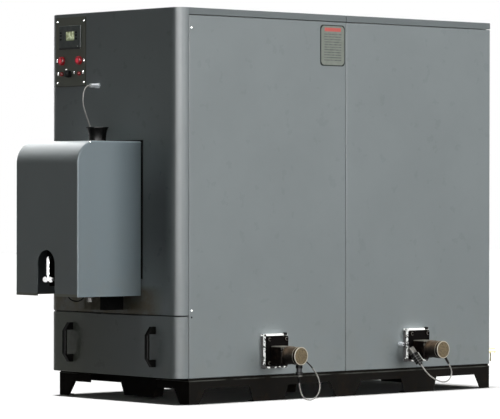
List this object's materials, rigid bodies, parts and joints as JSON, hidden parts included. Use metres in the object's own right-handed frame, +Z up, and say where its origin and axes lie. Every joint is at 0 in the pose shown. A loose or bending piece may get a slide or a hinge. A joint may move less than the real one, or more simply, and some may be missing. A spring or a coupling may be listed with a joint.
{
  "type": "industrial pellet boiler",
  "caption": "Tall rectangular hot-water boiler in sheet-steel casing with front burner cover, control plate, ash drawer, side gearmotors and black footed base.",
  "frame": {"origin": "on the floor, in the middle of the joint between the two base modules", "axes": "+X to the right seen from the front, +Y from front to rear, +Z up"},
  "size_m": [1.2835, 2.758, 2],
  "materials": {
    "case_paint": "satin slate-grey powder coat",
    "base_paint": "black paint",
    "dark_steel": "matt black heat-proof paint",
    "inner_steel": "ash-dusted sheet steel",
    "handle_black": "moulded black",
    "display_black": "moulded black",
    "screen": "pale green display",
    "lamp_red": "translucent red",
    "bright_steel": "zinc plated",
    "chrome": "polished",
    "motor_paint": "brown-black lacquer",
    "funnel_black": "gloss black",
    "cable_grey": "grey sheath",
    "gland_white": "pale nylon",
    "plug_black": "black moulding",
    "pipe_steel": "primed steel",
    "flue_steel": "stainless",
    "brass": "plain brass",
    "plate_grey": "printed aluminium"
  },
  "bodies": {
    "casing": {"base_frame_right_front": "base_paint", "base_frame_right_rear": "base_paint", "base_frame_left_front": "base_paint", "base_frame_left_rear": "base_paint", "base_cross_beams": "base_paint", "casing_floor": "base_paint", "boiler_body": "inner_steel", "ash_pocket": "inner_steel", "front_panel": "case_paint", "side_panel_right_front": "case_paint", "side_panel_right_rear": "case_paint", "side_panel_left_front": "case_paint", "side_panel_left_rear": "case_paint", "rear_panel": "case_paint", "roof_front": "case_paint", "roof_rear": "case_paint", "drawer_runners": "bright_steel", "control_plate": "case_paint", "display_unit": "display_black", "display_screen": "screen", "indicator_lamps": "lamp_red", "burner_plate": "dark_steel", "burner_body": "dark_steel", "ash_throat": "dark_steel", "burner_cover": "case_paint", "cover_clamp": "chrome", "pellet_funnel": "funnel_black", "burner_union": "bright_steel", "probe_glands": "bright_steel", "probe_lead": "plug_black", "sensor_gland": "gland_white", "sensor_cable": "cable_grey", "auger_bracket_front": "bright_steel", "gearbox_front": "dark_steel", "motor_front": "motor_paint", "motor_plug_front": "plug_black", "motor_cable_front": "cable_grey", "auger_bracket_rear": "bright_steel", "gearbox_rear": "dark_steel", "motor_rear": "motor_paint", "panel_gland_rear": "gland_white", "panel_lead_rear": "cable_grey", "inline_plug_rear": "plug_black", "motor_cable_rear": "cable_grey", "flue_spigot": "flue_steel", "water_connections": "pipe_steel", "drain_valve": "brass", "service_plate": "plate_grey"},
    "ash_drawer": {"ash_drawer_front": "case_paint", "drawer_handles": "handle_black", "ash_box": "inner_steel"},
    "selector": {"selector_knob": "display_black"}
  },
  "joints": [
    {"name": "ash_drawer_slide", "type": "slide", "parent": "casing", "child": "ash_drawer", "axis": [0, -1, 0], "range_m": [0, 0.34]},
    {"name": "selector_turn", "type": "hinge", "parent": "casing", "child": "selector", "pos_m": [-0.349, -1.154, 1.686], "axis": [0, -1, 0], "range_deg": [-45, 45]}
  ]
}
